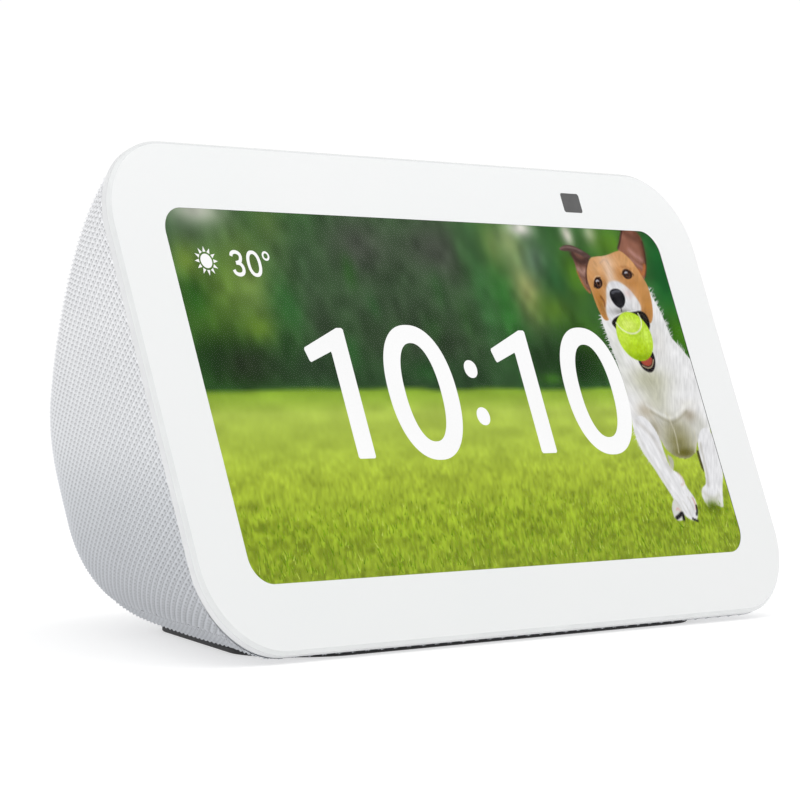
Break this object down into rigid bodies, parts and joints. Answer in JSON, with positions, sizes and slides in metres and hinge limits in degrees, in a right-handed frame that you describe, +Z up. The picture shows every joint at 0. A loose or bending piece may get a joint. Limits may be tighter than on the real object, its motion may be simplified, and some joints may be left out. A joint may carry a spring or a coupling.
{
  "type": "smart display",
  "caption": "Table-top smart display: a wide bordered screen tilted back on a wedge-shaped, knit-covered body, with push buttons, a camera shutter slide and a round power inlet.",
  "frame": {"origin": "centre of the bounding box at the resting surface", "axes": "+X to the viewer's right, the screen looks towards -Y tilted up 20 degrees, +Z up"},
  "size_m": [0.147, 0.0909, 0.0815],
  "materials": {
    "clear_glass": "polished, bevelled edge",
    "white_print": "smooth white ink",
    "frame_white": "fine satin",
    "button_white": "satin",
    "light_knit": "open speaker knit",
    "black_rubber": "matt",
    "screen": "lit display",
    "acrylic": "clear acrylic",
    "tin_sheet": "folded sheet",
    "black_foam": "closed-cell foam",
    "dark_plastic": "moulded",
    "cream_plastic": "moulded",
    "housing_white": "moulded",
    "circuit_board": "solder mask",
    "chip_black": "moulded package",
    "lens_glass": "coated",
    "can_metal": "stamped",
    "thermal_grey": "soft",
    "ribbon_amber": "polyimide film",
    "magnet_grey": "plated",
    "cone_black": "coated paper",
    "surround_rubber": "soft roll",
    "spider_cloth": "resin-dipped cloth",
    "zinc": "plated",
    "lead_red": "insulation",
    "lead_black": "insulation"
  },
  "bodies": {
    "housing": {"cover_glass": "clear_glass", "border_print": "white_print", "front_frame": "frame_white", "control_strip": "frame_white", "inlet_bezel": "frame_white", "fabric_cover": "light_knit", "rubber_foot": "black_rubber", "display_panel": "screen", "light_guide": "acrylic", "backlight_tray": "tin_sheet", "shield_can": "tin_sheet", "glass_adhesive": "black_foam", "speaker_gasket": "black_foam", "mid_frame": "dark_plastic", "base_plate": "dark_plastic", "speaker_baffle": "dark_plastic", "speaker_basket": "dark_plastic", "power_jack": "dark_plastic", "board_connectors": "cream_plastic", "rear_housing": "housing_white", "main_board": "circuit_board", "switch_board": "circuit_board", "camera_board": "circuit_board", "jack_board": "circuit_board", "main_chips": "chip_black", "push_switches": "chip_black", "camera_module": "chip_black", "camera_lens": "lens_glass", "microphones": "can_metal", "heat_sink": "can_metal", "thermal_pad": "thermal_grey", "display_ribbon": "ribbon_amber", "camera_ribbon": "ribbon_amber", "wifi_antennas": "ribbon_amber", "speaker_magnet": "magnet_grey", "speaker_surround": "surround_rubber", "speaker_spider": "spider_cloth", "frame_screws": "zinc", "board_screws": "zinc", "strip_screws": "zinc", "speaker_screws": "zinc", "jack_screws": "zinc", "base_screws": "zinc", "power_leads": "lead_red", "speaker_leads": "lead_black"},
    "mute_button": {"mute_button": "button_white"},
    "volume_down_button": {"volume_down_button": "button_white"},
    "volume_up_button": {"volume_up_button": "button_white"},
    "camera_shutter": {"camera_shutter": "button_white"},
    "speaker_cone": {"speaker_cone": "cone_black"}
  },
  "joints": [
    {"name": "mute_press", "type": "slide", "parent": "housing", "child": "mute_button", "axis": [0, -0.4881, -0.8728], "range_m": [0, 0.0006], "stiffness_N_per_m": 800, "springref_m": -0.0002},
    {"name": "volume_down_press", "type": "slide", "parent": "housing", "child": "volume_down_button", "axis": [0, -0.4881, -0.8728], "range_m": [0, 0.0006], "stiffness_N_per_m": 800, "springref_m": -0.0002},
    {"name": "volume_up_press", "type": "slide", "parent": "housing", "child": "volume_up_button", "axis": [0, -0.4881, -0.8728], "range_m": [0, 0.0006], "stiffness_N_per_m": 800, "springref_m": -0.0002},
    {"name": "shutter_slide", "type": "slide", "parent": "housing", "child": "camera_shutter", "axis": [-1, 0, 0], "range_m": [0, 0.006]},
    {"name": "cone_stroke", "type": "slide", "parent": "housing", "child": "speaker_cone", "axis": [0, 0.9397, -0.342], "range_m": [-0.001, 0.001], "stiffness_N_per_m": 1500}
  ]
}
